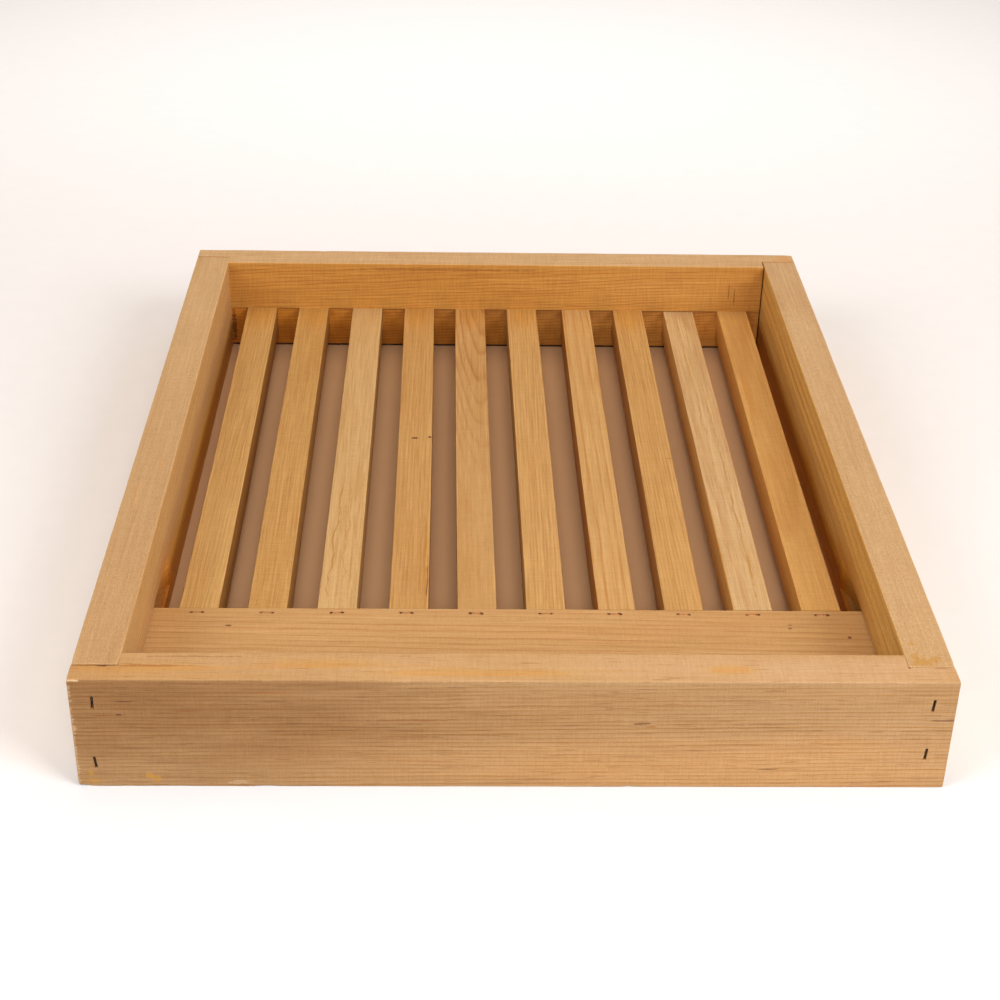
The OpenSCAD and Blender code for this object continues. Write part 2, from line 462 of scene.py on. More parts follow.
def pine_group():
    """Growth rings round a pith wherever a face cuts them, with fibres, flecks and saw marks."""
    tree, given, result = new_group("pine", [
        ("Place", "Vector"), ("Normal", "Vector"), ("Pith", "Vector"), ("Lean", "Vector"),
        ("Middle", "Vector"), ("Half", "Vector"), ("Early", "Color"), ("Late", "Color"),
        ("Blotch", "Color"), ("Spacing", "Float"), ("Warp", "Float"), ("Contrast", "Float"),
        ("Streaks", "Float"), ("Flecks", "Float"), ("Specks", "Float"), ("Saw", "Float"),
        ("Blotches", "Float"), ("Wear", "Float"), ("Bulge", "Float"), ("Seed", "Float"),
        ("Fuzz", "Float"), ("Hair", "Float"), ("Calm", "Float"), ("Tone", "Vector"),
        ("Flank", "Vector"),
    ], [("Color", "Color"), ("Height", "Float"), ("Roughness", "Float")])

    place, seed = given["Place"], given["Seed"]
    moved = vec(tree, "ADD", place, put(tree, "CombineXYZ", X=calc(tree, "MULTIPLY", seed, 171.3),
                                        Y=calc(tree, "MULTIPLY", seed, 53.1),
                                        Z=calc(tree, "MULTIPLY", seed, 97.7)))
    wide = vec(tree, "SUBTRACT", cloud(tree, moved, 170, 34, out=1), (0.5, 0.5, 0.5))
    wide = scaled(tree, wide, calc(tree, "MULTIPLY", given["Warp"], 2.4))
    tight = vec(tree, "SUBTRACT", cloud(tree, moved, 34, 5.5, out=1), (0.5, 0.5, 0.5))
    tight = scaled(tree, tight, calc(tree, "MULTIPLY", given["Warp"], 0.34))
    q = vec(tree, "SUBTRACT", vec(tree, "SUBTRACT", place, given["Pith"]),
            scaled(tree, given["Lean"], put_apart(tree, place)[0]))
    q = vec(tree, "ADD", vec(tree, "ADD", q, wide), tight)
    r = vec(tree, "LENGTH", vec(tree, "MULTIPLY", q, (0, 1, 1)), out=1)
    r = calc(tree, "ADD", r, given["Bulge"])
    phase = calc(tree, "DIVIDE", r, given["Spacing"])
    slow = put(tree, "CombineXYZ", X=calc(tree, "MULTIPLY", phase, 0.21), Y=seed)
    drift = put(tree, "TexNoise", Vector=slow, Scale=1.0, Detail=1.0)
    phase = calc(tree, "MULTIPLY_ADD", drift, 1.5, phase)
    year = calc(tree, "ADD", calc(tree, "FLOOR", phase), calc(tree, "MULTIPLY", seed, 3.7))
    vigour = put(tree, "TexWhiteNoise", props={"noise_dimensions": "1D"}, W=year)
    late = ramp(tree, calc(tree, "FRACT", phase),
                [(0.0, 0.3), (0.06, 0.02), (0.45, 0.05), (0.72, 0.34), (0.9, 1.0), (1.0, 0.36)])
    late = calc(tree, "MULTIPLY", late, calc(tree, "MULTIPLY_ADD", vigour, 0.4, 0.6))
    patchy = ease_in(tree, cloud(tree, moved, 30, 2.6, 1.0), 0.32, 0.6, 0.5, 1.0)
    late = calc(tree, "MULTIPLY", late, patchy)
    late = calc(tree, "MULTIPLY", late, calc(tree, "SUBTRACT", 1.0, given["Calm"]))

    streak = cloud(tree, moved, 75, 1.5, 3.0)
    fibre = cloud(tree, moved, 16, 0.33, 2.0)
    blotch = cloud(tree, moved, 120, 20, 2.0)
    speck = cloud(tree, moved, 1.7, 1.0, 1.0)
    fuzz = cloud(tree, moved, 0.55, 0.45, 1.0)
    saw = cloud(tree, moved, 0.85, 11, 1.0)
    fleck = ease_in(tree, cloud(tree, moved, 13, 0.62, 0.0), 0.69, 0.78)
    hair = ease_in(tree, cloud(tree, moved, 34, 0.85, 1.0), 0.53, 0.66)
    pale_hair = ease_in(tree, cloud(tree, moved, 46, 1.15, 1.0, shift=(0, 31, 17)), 0.54, 0.68)

    colour = blend_colour(tree, "MIX", calc(tree, "MULTIPLY", late, given["Contrast"]),
                          given["Early"], given["Late"])
    colour = blend_colour(tree, "MIX", calc(tree, "MULTIPLY", ease_in(tree, blotch, 0.44, 0.74),
                                            given["Blotches"]), colour, given["Blotch"])
    shade = calc(tree, "MULTIPLY_ADD", calc(tree, "SUBTRACT", streak, 0.5), given["Streaks"], 1.0)
    for part, how_much in ((fibre, calc(tree, "MULTIPLY", given["Streaks"], 0.6)),
                           (speck, given["Specks"]), (saw, given["Saw"]), (fuzz, given["Fuzz"])):
        shade = calc(tree, "MULTIPLY_ADD", calc(tree, "SUBTRACT", part, 0.5), how_much, shade)
    shade = calc(tree, "MULTIPLY_ADD", pale_hair, calc(tree, "MULTIPLY", given["Hair"], 0.4), shade)
    stir = calc(tree, "MULTIPLY_ADD", given["Calm"], -0.8, 1.0)
    hair = calc(tree, "MULTIPLY", hair, stir)
    colour = blend_colour(tree, "MULTIPLY", calc(tree, "MULTIPLY", hair, given["Hair"]),
                          colour, (0.62, 0.42, 0.2, 1))
    fleck_tint = blend_colour(tree, "MULTIPLY", calc(tree, "MULTIPLY", fleck, given["Flecks"]),
                              colour, (0.44, 0.24, 0.1, 1))

    # Distance in from the nearest long edge, for paler arrises: partly worn, partly a painted
    # highlight
    inset = vec(tree, "SUBTRACT", given["Half"],
                vec(tree, "ABSOLUTE", vec(tree, "SUBTRACT", place, given["Middle"])))
    _, from_side, from_top = put_apart(tree, inset)
    edge = calc(tree, "MAXIMUM", from_side, from_top)
    edge = calc(tree, "MULTIPLY_ADD", calc(tree, "SUBTRACT", streak, 0.5), 2.2, edge)
    edge = ease_in(tree, edge, 0.1, 1.3, 1.0, 0.0)
    shade = calc(tree, "MULTIPLY_ADD", edge, given["Wear"], shade)
    # Darker wood is also redder, so green and blue swing further than red
    swing = calc(tree, "SUBTRACT", shade, 1.0)
    shade = put(tree, "CombineXYZ", X=shade, Y=calc(tree, "MULTIPLY_ADD", swing, 1.3, 1.0),
                Z=calc(tree, "MULTIPLY_ADD", swing, 1.9, 1.0))
    colour = vec(tree, "MULTIPLY", vec(tree, "MULTIPLY", fleck_tint, given["Tone"]), shade)

    # The sides take a tone partly their own and partly painted shade and bounce light; end grain is
    # darker, browner and rougher
    facing = put_apart(tree, vec(tree, "ABSOLUTE", given["Normal"]))
    side = ease_in(tree, facing[1], 0.35, 0.8)
    colour = blend_colour(tree, "MULTIPLY", side, colour, given["Flank"])
    end = ease_in(tree, facing[0], 0.6, 0.9)
    colour = blend_colour(tree, "MULTIPLY", end, colour, (0.78, 0.68, 0.56, 1))

    height = calc(tree, "MULTIPLY", late, 0.35)
    for part, how_much in ((streak, 0.5), (fibre, 0.45), (saw, 0.35), (speck, 0.15), (fuzz, 0.25),
                           (fleck, -0.5), (hair, -0.4)):
        height = calc(tree, "MULTIPLY_ADD", part, how_much, height)
    rough = calc(tree, "MULTIPLY_ADD", fibre, 0.22, 0.47)
    rough = calc(tree, "MULTIPLY_ADD", late, -0.08, rough)
    rough = calc(tree, "MULTIPLY_ADD", end, 0.15, rough)
    tree.links.new(colour, result["Color"])
    tree.links.new(height, result["Height"])
    tree.links.new(rough, result["Roughness"])
    return tree


MARK = [("Place", "Vector"), ("At", "Vector"), ("Size", "Vector"), ("Ragged", "Float")]


def area_group(name, along, across, inner, outer):
    """A ragged area on the board: 1 inside its inner reach and 0 past its outer reach.

    along and across are the size of the raggedness, and Near says how near its middle is.
    """
    tree, given, result = new_group(name, MARK, [("Mask", "Float"), ("Near", "Float")])
    away = vec(tree, "DIVIDE", vec(tree, "SUBTRACT", given["Place"], given["At"]), given["Size"])
    away = vec(tree, "LENGTH", away, out=1)
    torn = calc(tree, "SUBTRACT", cloud(tree, given["Place"], along, across, 3.0), 0.5)
    torn = calc(tree, "MULTIPLY_ADD", torn, given["Ragged"], away)
    tree.links.new(ease_in(tree, torn, inner, outer, 1.0, 0.0), result["Mask"])
    tree.links.new(ease_in(tree, away, 0.0, 2.6, 1.0, 0.0), result["Near"])
    return tree


def vein_group():
    """A thin wandering line that runs with the grain: 1 on it and 0 off it."""
    tree, given, result = new_group("vein", MARK, [("Mask", "Float")])
    along, wide, _ = put_apart(tree, given["Size"])
    away = put_apart(tree, vec(tree, "SUBTRACT", given["Place"], given["At"]))
    course = put(tree, "CombineXYZ", X=calc(tree, "DIVIDE", away[0], 24.0),
                 Y=put_apart(tree, given["At"])[1])
    sway = put(tree, "TexNoise", Vector=course, Scale=1.0, Detail=2.0)
    sway = calc(tree, "MULTIPLY", calc(tree, "SUBTRACT", sway, 0.5), given["Ragged"])
    off = calc(tree, "ABSOLUTE", calc(tree, "SUBTRACT", away[1], sway))
    line = ease_in(tree, calc(tree, "DIVIDE", off, wide), 0.3, 1.0, 1.0, 0.0)
    reach = calc(tree, "DIVIDE", calc(tree, "ABSOLUTE", away[0]), along)
    reach = ease_in(tree, reach, 0.7, 1.0, 1.0, 0.0)
    faint = ease_in(tree, cloud(tree, given["Place"], 9, 30, 1.0), 0.35, 0.55, 0.35, 1.0)
    line = calc(tree, "MULTIPLY", calc(tree, "MULTIPLY", line, reach), faint)
    tree.links.new(line, result["Mask"])
    return tree


PINE, VEIN = pine_group(), vein_group()
PATCH = area_group("patch", 4.2, 1.5, 0.75, 1.1)
STAIN_AND_SHADE = area_group("stain", 46, 5, 0.25, 1.0)

GLUE = srgb(166, 118, 40)
RESIN = srgb(156, 106, 36)
BURNT = srgb(82, 36, 16)
# Dark marks in the wood; also the painted shadow line under the back board's step
DARK_MARK_AND_SHADE = srgb(116, 66, 26)
RUST = srgb(138, 82, 22)
PAINTED_CONTACT_SHADOW = srgb(34, 16, 6)
TORN = srgb(204, 176, 140)
AMBER = srgb(182, 126, 58)
AMBER_TONE = (1.04, 0.96, 0.72)      # how yellow cathedral streaks tone the wood round them

# Common figure of all the boards; each board then changes what differs
FIGURE = {
    "Early": srgb(178, 136, 86), "Late": srgb(148, 90, 38), "Blotch": srgb(168, 118, 62),
    "Spacing": 2.4, "Warp": 2.2, "Contrast": 0.6, "Streaks": 0.42, "Flecks": 0.1,
    "Specks": 0.08, "Saw": 0.16, "Fuzz": 0.3, "Blotches": 0.3, "Wear": 0.06, "Bulge": 0.0,
    "Hair": 0.22, "Calm": 0.0, "Flank": (1, 1, 1),
}


def wood(name, node, axis, seed, pith, lean=(0, 0), tone=(1, 1, 1), spots=(), veins=(), stains=(),
         calm=(), **figure):
    """A pine material for one board.

    pith and lean are the heart of the tree across the board and its drift per millimetre of
    length. A spot or a vein is (along, across, up, its three sizes, colour, strength,
    raggedness), and an entry of stains is (along, across, up, its three sizes, how it
    tones the wood, raggedness): some are real discolouring and some are painted light and shade.
    calm lists the middles and the sizes of areas that show hardly any rings.
    The rest are inputs of the pine group: Flank tones the faces that look across the
    board, partly as the wood's own tone and partly as painted shade and painted bounce light,
    Spacing is the width of a year's growth, and Contrast is how dark its late wood is.
    """
    material, tree, coords = new_material(name)

    def turned(vector):
        if axis == ALONG_X:
            return vector
        across, along, up = put_apart(tree, vector)
        return put(tree, "CombineXYZ", X=along, Y=across, Z=up)

    place = scaled(tree, turned(coords["Object"]), 1 / MM)

    def mask(group, at, size, ragged, out="Mask"):
        return put(tree, "Group", out, {"node_tree": group},
                   Place=place, At=at, Size=size, Ragged=ragged)

    lo, hi = box_mm(node)
    middle, half = (lo + hi) / 2, (hi - lo) / 2
    if axis == ALONG_Y:
        middle, half = Vector((middle.y, middle.x, middle.z)), Vector((half.y, half.x, half.z))
    values = dict(FIGURE, **figure)
    values.update({"Pith": (0, *pith), "Lean": (0, *lean), "Tone": tone, "Seed": seed,
                   "Middle": middle, "Half": half, "Place": place,
                   "Normal": turned(coords["Normal"])})
    for area in calm:
        still = calc(tree, "MULTIPLY", mask(STAIN_AND_SHADE, *area, 0.4), 0.85)
        values["Calm"] = calc(tree, "MAXIMUM", values["Calm"], still)
    for *at, size, colour, strength, ragged in spots:
        if colour == BURNT:
            near = calc(tree, "MULTIPLY", mask(PATCH, at, size, ragged, "Near"), 0.9)
            bulge = values["Bulge"]
            values["Bulge"] = calc(tree, "ADD", bulge, near) if bulge else near
    colour = put(tree, "Group", "Color", {"node_tree": PINE}, **values)
    rough, height = (colour.node.outputs[name] for name in ("Roughness", "Height"))
    for *at, size, effect, ragged in stains:
        colour = blend_colour(tree, "MULTIPLY", mask(STAIN_AND_SHADE, at, size, ragged), colour, (*effect, 1))
    for group, marks in ((PATCH, spots), (VEIN, veins)):
        for *at, size, tint, strength, ragged in marks:
            cover = calc(tree, "MULTIPLY", mask(group, at, size, ragged), strength)
            colour = blend_colour(tree, "MIX", cover, colour, tint)
            if tint in (GLUE, RESIN):
                rough = calc(tree, "MULTIPLY_ADD", cover, -0.15, rough)
    relief = put(tree, "Bump", Strength=0.35, Distance=0.25 * MM, Height=height)
    show(tree, principled(tree, colour, rough, relief, specular=0.32))
    return material


# ---- Outer frame ----

def corner_seats(board, inner_y, outward, end_gaps, side_gaps):
    """Cutters for the rabbets that the side boards' ends sit in, left and then right."""
    mesh = bmesh.new()
    past_y = inner_y - outward * SEAT_SLACK
    for side, end_gap, side_gap in zip((-1, 1), end_gaps, side_gaps):
        seat_y = (LEFT[0].y if outward < 0 else LEFT[1].y) + outward * end_gap
        xs = sorted((side * (INNER_X - side_gap), side * (board[1].x + SEAT_SLACK)))
        ys = sorted((seat_y, past_y))
        add_block(mesh, (xs[0], ys[0], -SEAT_SLACK), (xs[1], ys[1], TOP + SEAT_SLACK))
    return mesh


front = as_object("front_board_wood", bar(
    *FRONT, ALONG_X, ease=(0.6, 0.5, 0.5, 0.7), seed=1,
    chips=((3, -114.5, 2.2, 0.9), (3, -50.3, 1.6, 1.5), (3, -32.0, 1.2, 0.8), (3, 36.7, 2.0, 0.8),
           (3, 183.3, 1.5, 1.4), (3, -203.5, 3.5, 1.6), (0, -118.0, 5.0, 0.9), (0, 55.0, 3.0, 0.8),
           (0, -204.5, 3.0, 1.8))))
FRONT_END_GAPS = 0.9, 0.6            # open joint past the ends of the side boards
front_pits = bmesh.new()
for i, s in enumerate(FRONT_STAPLES):
    s.pits(front_pits, radius=0.75, depth=0.7, seed=i + 20, sunk=FRAME_SINK)
carve(front, corner_seats(FRONT, INNER_FRONT, -1, FRONT_END_GAPS, (0, 0.15)),
      kerfs((FRONT_STAPLES, FRAME_OPEN)), front_pits)
FACE = FRONT[0].y
SEAT_Y = LEFT[0].y - FRONT_END_GAPS[0]
# Yellowed streaks on the front rim: X, Y, length and width
RIM_AMBER = ((-170, -243, 56, 5.0), (-95, -239, 46, 5.0), (-38, -246, 50, 4.6), (10, -246, 32, 3.4),
             (101, -243, 18, 7.0))
finish_piece(front, "front_board", wood(
    "front_wood_grain", "front_board", ALONG_X, 1.0, pith=(-238, -92), lean=(0.01, 0.012),
    tone=(0.92, 0.98, 1.08), Spacing=2.3, Warp=1.7, Contrast=0.95, Streaks=0.16, Flecks=0.35,
    Specks=0.14, Saw=0.2, Fuzz=0.4, Hair=0.14, Flank=(0.79, 0.77, 0.78),
    Late=srgb(151, 97, 18),
    calm=(((0, -241, TOP), (500, 40, 4)),),
    stains=(
        # The first tone area darkens the front face's upper left and the third and fourth lighten
        # its lower half and right end: painted shade and painted light, over the wood's own tone
        (-170, FACE - 0.6, 54, (210, 1.6, 74), (0.65, 0.53, 0.37), 0.5),
        (-40, FACE - 0.6, 36, (130, 1.6, 14), (0.92, 0.88, 0.8), 1.0),
        (90, FACE - 0.6, 8, (260, 1.6, 34), (1.28, 1.22, 1.13), 0.5),
        (190, FACE - 0.6, 30, (120, 1.6, 50), (1.12, 1.13, 1.18), 0.5),
        (60, -241, TOP, (300, 18, 3), (1.02, 1.06, 1.14), 0.4),
        (150, -241, TOP, (150, 18, 3), (1.04, 1.06, 1.18), 0.4),
        (-130, -241, TOP, (110, 18, 3), (0.95, 0.94, 0.93), 0.4),
        *((x, y, TOP, (length, width, 2), AMBER_TONE, 1.2) for x, y, length, width in RIM_AMBER),
    ),
    veins=(
        (-130, -242.5, TOP, (52, 1.1, 2), AMBER, 0.45, 5.0),
        (-155, -248.5, TOP, (40, 0.8, 2), AMBER, 0.4, 4.0),
        (-75, -240.5, TOP, (60, 0.9, 2), AMBER, 0.45, 6.0),
        (-20, -247.0, TOP, (38, 1.3, 2), AMBER, 0.4, 4.0),
        (34, -243.5, TOP, (30, 0.8, 2), AMBER, 0.35, 4.0),
        (101, -243.0, TOP, (10, 2.4, 2), AMBER, 0.45, 3.0),
    ),
    spots=(
        (-181, FACE, 49.8, (4.0, 2, 0.35), BURNT, 0.8, 1.2),
        (-191, FACE, 41.7, (8.0, 2, 0.35), DARK_MARK_AND_SHADE, 0.7, 2.0),
        (-184, FACE, 42.4, (1.4, 2, 0.6), BURNT, 0.7, 1.2),
        (-153, FACE, 44.6, (7.0, 2, 0.4), DARK_MARK_AND_SHADE, 0.6, 2.0),
        (-112, FACE, 55.0, (9.0, 2, 0.35), RUST, 0.7, 2.0),
        (-48, FACE, 39.4, (18.0, 2, 0.6), DARK_MARK_AND_SHADE, 0.55, 2.0),
        (-47, FACE, 29.9, (13.0, 2, 0.7), DARK_MARK_AND_SHADE, 0.4, 2.0),
        (60, FACE, 37.7, (3.4, 2, 0.55), BURNT, 0.6, 3.4),
        (63, FACE, 35.9, (2.2, 2, 0.4), RUST, 0.7, 3.4),
        (120, FACE, 11.1, (5.0, 2, 0.45), BURNT, 0.6, 1.8),
        (119, FACE, 37.5, (11.0, 2, 0.4), DARK_MARK_AND_SHADE, 0.5, 1.8),
        (203, FACE, 40.0, (8.0, 2, 0.45), BURNT, 0.7, 1.6),
        (-199.8, FACE, 8.2, (1.5, 2, 1.7), GLUE, 0.6, 2.5),
        (-198.2, FACE, 3.2, (3.4, 2, 1.4), GLUE, 0.65, 3.0),
        (-172.4, FACE, 6.6, (1.9, 2, 1.8), GLUE, 0.75, 2.5),
        (-169.2, FACE, 4.2, (1.9, 2, 2.6), GLUE, 0.6, 3.0),
        (-130, FACE, 2.6, (5.0, 2, 1.2), TORN, 0.25, 3.0),
        (-206.2, FACE, 30, (1.1, 2, 34), TORN, 0.32, 5.0),
        (-204, FACE, 61.4, (3.2, 2, 0.45), TORN, 0.6, 2.6),
        (-196, SEAT_Y, TOP, (11.0, 0.8, 2), RUST, 0.9, 1.6),
        (-190, SEAT_Y + 0.3, TOP, (5.6, 1.1, 2), BURNT, 0.95, 3.6),
        (-168, SEAT_Y, TOP, (18.0, 0.8, 2), RUST, 0.6, 2.2),
        (184.6, SEAT_Y, TOP, (0.8, 0.8, 2), BURNT, 0.8, 1.0),
        (200, SEAT_Y, TOP, (5.0, 0.35, 2), RUST, 0.8, 1.4),
        (-150, -233.5, TOP, (24, 0.5, 2), DARK_MARK_AND_SHADE, 0.5, 2.4),
    )))

back_rabbet = bmesh.new()
add_block(back_rabbet, (-INNER_X, INNER_BACK - SEAT_SLACK, -SEAT_SLACK),
          (INNER_X, SLAT_END, SHELF_TOP))
back = as_object("back_board_wood", bar(
    *BACK, ALONG_X, ease=(0.5, 0.6, 0.7, 0.6), seed=2,
    chips=((2, 206, 3.0, 1.6), (2, -120, 2.5, 0.8), (3, -60, 4.0, 0.5), (1, 30.0, 4.0, 0.9))))
carve(back, corner_seats(BACK, INNER_BACK, 1, (0.3, 0.3), (0, 0.9)), back_rabbet,
      kerfs((BACK_STAPLES, FRAME_OPEN), (SLAT_STAPLES, FRAME_OPEN)))
finish_piece(back, "back_board", wood(
    "back_wood_grain", "back_board", ALONG_X, 2.0, pith=(262, 118), lean=(-0.01, 0.05),
    tone=(1.03, 1.12, 1.26), Spacing=2.15, Warp=3.6, Contrast=0.9, Streaks=0.24, Saw=0.3, Hair=0.26,
    Flank=(0.93, 0.69, 0.285), calm=(((0, BACK[1].y, TOP), (500, 60, 5)),),
    stains=(
        # Painted light and shade on the faces between the slats' rear ends: darker and more orange
        # on the left, lighter on the right, a painted shadow along their top under the step
        (-190, INNER_BACK + 1.2, 8, (330, 1.15, 50), (1.12, 0.86, 0.26), 0.0),
        (190, INNER_BACK + 1.2, 8, (200, 1.15, 50), (1.45, 1.45, 1.5), 0.0),
        (60, INNER_BACK + 1.2, SHELF_TOP, (300, 1.15, 13), (0.58, 0.48, 0.42), 0.0),
        (110, INNER_BACK - 0.4, 46, (140, 1.1, 26), (1.1, 1.17, 1.45), 0.3),
        (0, BACK[1].y - 11, TOP, (520, 34, 3), (1.0, 1.06, 1.16), 0.3),
    ),
    spots=(
        (161, INNER_BACK, 42.5, (0.5, 2, 6.0), DARK_MARK_AND_SHADE, 0.6, 0.8),
        (165, INNER_BACK, 39.5, (0.4, 2, 6.5), BURNT, 0.6, 0.8),
        (-40, INNER_BACK, 58.0, (60, 2, 1.1), DARK_MARK_AND_SHADE, 0.4, 2.0),
        (200, BACK[1].y - 8, TOP, (7, 5, 2), AMBER, 0.45, 3.0),
        # Painted shadows: a near-black contact shadow along the foot of those faces, and a thin
        # dark line under the step at their top
        (0, SLAT_END, 0.4, (500, 1.5, 0.9), PAINTED_CONTACT_SHADOW, 0.95, 0.4),
        (0, SLAT_END, SHELF_TOP - 0.5, (500, 0.5, 0.7), DARK_MARK_AND_SHADE, 0.55, 0.4),
        (-182.6, SLAT_END, 14, (1.5, 0.6, 11), BURNT, 0.75, 3.0),
    )))


def groove(side):
    """Cutters for the stopped groove of the deck board, with the cutter's round run-out."""
    inner = side * INNER_X
    deep = side * DECK[1].x
    full = DECK[1].y + GROOVE_SPARE
    mesh = bmesh.new()
    outline = [(inner - side * SEAT_SLACK, LEFT[0].y - SEAT_SLACK), (deep, LEFT[0].y - SEAT_SLACK)]
    reach = math.acos((CUTTER_R - abs(deep - inner) - SEAT_SLACK) / CUTTER_R)
    for i in range(13):
        a = reach * i / 12
        outline.append((deep - side * CUTTER_R * (1 - math.cos(a)), full + CUTTER_R * math.sin(a)))
    add_prism(mesh, [Vector((x, y, SHELF_LOW)) for x, y in outline],
              Vector((0, 0, SHELF_TOP - SHELF_LOW + JOINT_GAP)))
    return mesh


SIDE_CHIPS = {
    "left_board": ((2, LEFT[0].y + 1, 2.5, 1.0), (3, LEFT[0].y + 2, 2.5, 1.2), (3, 40, 6, 0.5)),
    "right_board": ((2, -60, 5, 0.5), (3, 120, 5, 0.5), (2, LEFT[0].y + 2, 2.0, 0.9)),
}
SIDE_WOOD = {
    "left_board": dict(
        seed=3.0, pith=(-198, 220), lean=(0.01, -0.006), tone=(0.87, 0.96, 1.13), Spacing=3.6,
        Warp=2.4, Contrast=0.65, Flank=(1.4, 1.3, 1.06),
        # The first three tone areas are painted shade and light: more orange low on the inner face,
        # a darker band at the slats' height, a lighter rear end of the rim
        stains=((0, LEFT[1].x, 6, (420, 4, 30), (1.22, 0.97, 0.3), 0.6),
                (0, LEFT[1].x, 31, (420, 4, 14), (0.84, 0.78, 0.82), 0.5),
                (250, LEFT[1].x - 11, TOP, (360, 24, 3), (1.14, 1.18, 1.2), 0.3),
                (-112, LEFT[1].x - 6, 19, (64, 18, 28), (1.1, 0.82, 0.5), 0.0)),
        spots=((216.3, -190.6, TOP, (4.0, 1.2, 2), AMBER, 0.5, 2.2),
               (-50.9, -190.4, TOP, (6.0, 0.8, 2), AMBER, 0.5, 2.2),
               (-85.0, -200.0, TOP, (14.0, 0.7, 2), AMBER, 0.35, 2.2))),
    "right_board": dict(
        seed=4.0, pith=(198, -150), lean=(-0.012, 0.008), tone=(0.92, 1.05, 1.29), Spacing=7.5,
        Warp=3.6, Contrast=0.85, Flank=(1.34, 1.15, 0.58),
        # The first three tone areas are painted shade and light: darker and more orange low on the
        # inner face, a darker band at the slats' height, a lighter rear end of the rim
        stains=((0, RIGHT[0].x, 6, (420, 4, 29), (0.98, 0.66, 0.05), 0.6),
                (0, RIGHT[0].x, 31, (420, 4, 13), (0.84, 0.76, 0.74), 0.5),
                (250, RIGHT[0].x + 11, TOP, (360, 24, 3), (1.1, 1.12, 1.15), 0.3),
                (-112, RIGHT[0].x + 6, 19, (64, 18, 28), (0.9, 0.66, 0.3), 0.0)),
        spots=((30, RIGHT[0].x, 53, (150, 2, 0.8), RUST, 0.22, 2.0),
               (70, RIGHT[0].x, 46, (120, 2, 0.9), RUST, 0.34, 2.4),
               (-50, RIGHT[0].x, 39, (120, 2, 0.8), RUST, 0.3, 2.4),
               (-236, 192, TOP, (3.0, 5.0, 2), GLUE, 0.6, 6.0),
               (-234, 199, TOP, (2.2, 3.0, 2), GLUE, 0.5, 5.0),
               (-221, 190, TOP, (1.3, 1.6, 2), GLUE, 0.6, 2.0),
               (-231, 189, TOP, (2.4, 2.2, 2), GLUE, 0.5, 5.0))),
}
for node, side in (("left_board", -1), ("right_board", 1)):
    piece = as_object(node + "_wood", bar(
        *box_mm(node), ALONG_Y, ease=0.6, chips=SIDE_CHIPS[node], seed=SIDE_WOOD[node]["seed"]))
    carve(piece, groove(side), kerfs((FRONT_STAPLES, FRAME_OPEN), (BACK_STAPLES, FRAME_OPEN)))
    rim = (LEFT[0].x + LEFT[1].x) / 2 * -side
    finish_piece(piece, node, wood(
        node + "_grain", node, ALONG_Y, Specks=0.34, Fuzz=0.7, Blotches=0.15, Streaks=0.3,
        Hair=0.14, **SIDE_WOOD[node],
        calm=(((0, rim, TOP), (420, 60, 4)), ((-112, side * (INNER_X + 6), 19), (64, 18, 28)))))


# ---- Deck board and slats ----

deck_lap = bmesh.new()
add_block(deck_lap, (DECK[0].x - SEAT_SLACK, FIRST_SLAT[0].y, SHELF_LOW - SEAT_SLACK),
          (DECK[1].x + SEAT_SLACK, DECK[1].y + SEAT_SLACK, SHELF_LOW + LAP))
deck_pits = bmesh.new()
for i, s in enumerate(DECK_STAPLES):
    s.pits(deck_pits, radius=0.8, depth=0.9, seed=i, sunk=DECK_SINK)
deck = as_object("deck_board_wood", bar(
    *DECK, ALONG_X, ease=(0.6, 0.5, 0.35, 0.6), seed=5,
    bend=lambda t: (0.0, -0.35 * max(0.0, t - 0.55) / 0.45)))
carve(deck, deck_lap, kerfs((DECK_STAPLES, DECK_OPEN)), deck_pits)
deck_holes = [s.spot(e * (s.half - LEG_IN), 0) for s in DECK_STAPLES for e in (-1, 1)]
finish_piece(deck, "deck_board", wood(
    "deck_wood_grain", "deck_board", ALONG_X, 5.0, pith=(-322, -6), lean=(-0.03, 0.0),
    tone=(0.945, 0.99, 1.01), Spacing=4.7, Warp=2.6, Contrast=0.6, Streaks=0.24, spots=tuple(
        (*hole, (1.25, 1.0, 1.4), BURNT, 0.85, 1.6) for hole in deck_holes) + (
        (-144.0, -159.0, SHELF_TOP, (1.6, 0.9, 1.5), BURNT, 0.75, 1.0),
        (144.6, -159.2, SHELF_TOP, (1.3, 0.8, 1.5), BURNT, 0.6, 1.0),
        (144.8, -156.4, SHELF_TOP, (1.3, 0.8, 1.5), BURNT, 0.4, 1.0),
        (173.9, -167.2, SHELF_TOP, (1.1, 1.1, 1.5), BURNT, 0.85, 1.0),
    )))
